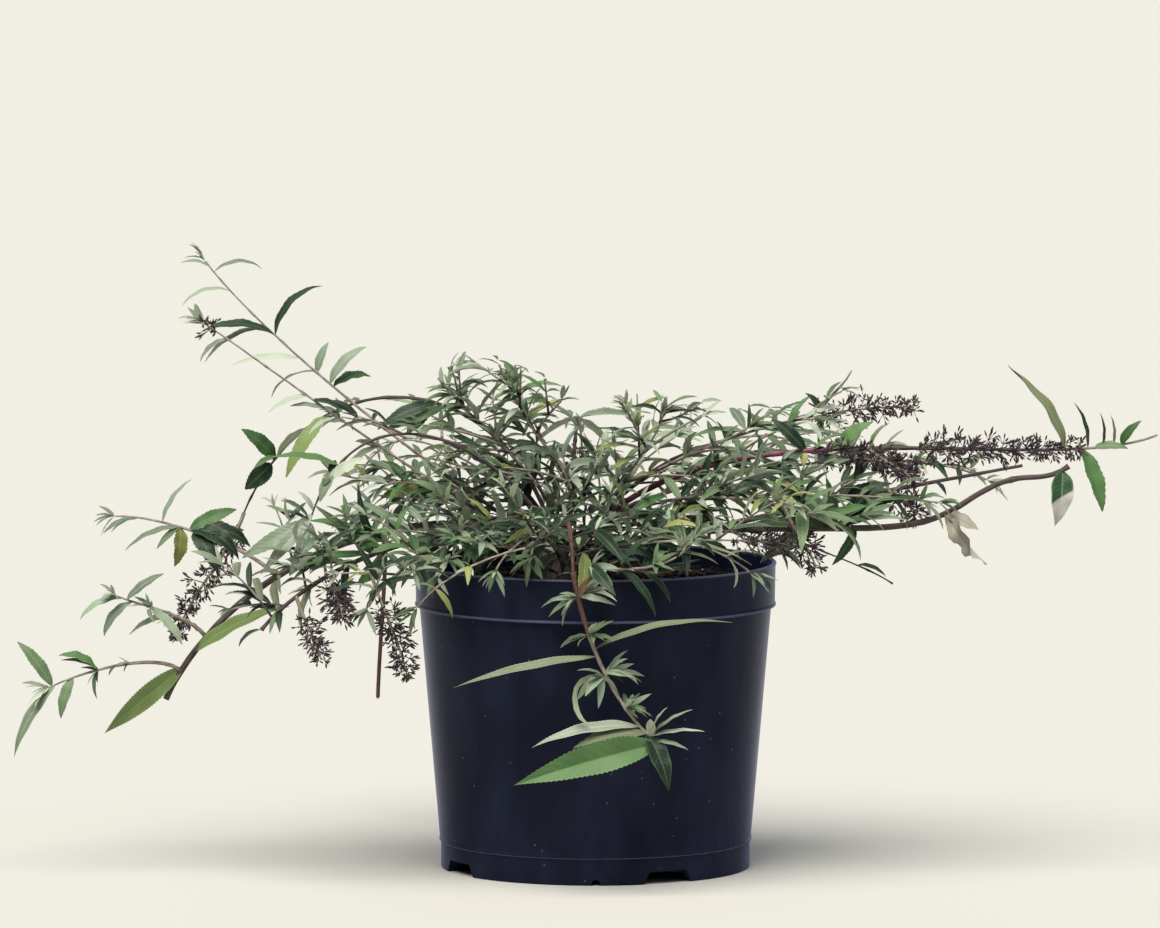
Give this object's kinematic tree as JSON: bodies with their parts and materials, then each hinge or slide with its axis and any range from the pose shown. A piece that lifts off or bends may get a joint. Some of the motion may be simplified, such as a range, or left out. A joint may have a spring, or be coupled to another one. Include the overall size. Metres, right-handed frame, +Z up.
{
  "type": "butterfly bush in a pot",
  "caption": "Low spreading shrub with arching stems, narrow leaves and spent flower spikes, in a round tapered nursery pot full of compost.",
  "frame": {"origin": "middle of the flat pad under the pot, on the level it stands on", "axes": "+Z up; -Y is the front, where one shoot hangs down over the rim; +X to the right seen from the front"},
  "size_m": [0.726, 0.396, 0.3975],
  "materials": {
    "pot": "satin black polypropylene",
    "compost": "crumbly moist compost",
    "bark": "thin bark, tan at the foot and reddish or grey above",
    "foliage": "soft leaves, green above and pale grey felt below, with dark spent flowers"
  },
  "bodies": {
    "root": {"back_far_right_leaves": "foliage", "back_far_right_limb": "bark", "back_left_leaves": "foliage", "back_left_limb": "bark", "back_middle_leaves": "foliage", "back_middle_limb": "bark", "back_right_leaves": "foliage", "back_right_limb": "bark", "back_weeping_leaves": "foliage", "back_weeping_limb": "bark", "front_hanging_leaves": "foliage", "front_left_leaves": "foliage", "front_left_limb": "bark", "front_over_limb": "bark", "front_right_leaves": "foliage", "inner_back_leaves": "foliage", "inner_back_left_leaves": "foliage", "inner_back_right_leaves": "foliage", "inner_front_leaves": "foliage", "inner_front_left_leaves": "foliage", "inner_left_leaves": "foliage", "inner_low_front_leaves": "foliage", "inner_right_leaves": "foliage", "left_arch_leaves": "foliage", "left_arch_limb": "bark", "left_fold_leaves": "foliage", "left_fold_limb": "bark", "left_high_leaves": "foliage", "left_high_limb": "bark", "left_long_leaves": "foliage", "left_long_limb": "bark", "left_low_leaves": "foliage", "left_low_limb": "bark", "left_second_leaves": "foliage", "left_second_limb": "bark", "pot": "pot", "right_front_leaves": "foliage", "right_front_limb": "bark", "right_long_leaves": "foliage", "right_long_limb": "bark", "right_red_leaves": "foliage", "right_red_limb": "bark", "right_second_leaves": "foliage", "right_second_limb": "bark", "right_upper_leaves": "foliage", "right_upper_limb": "bark", "soil": "compost", "stool": "bark", "top_far_left_leaves": "foliage", "top_far_right_leaves": "foliage", "top_left_leaves": "foliage", "top_middle_leaves": "foliage", "top_right_leaves": "foliage"}
  },
  "joints": []
}
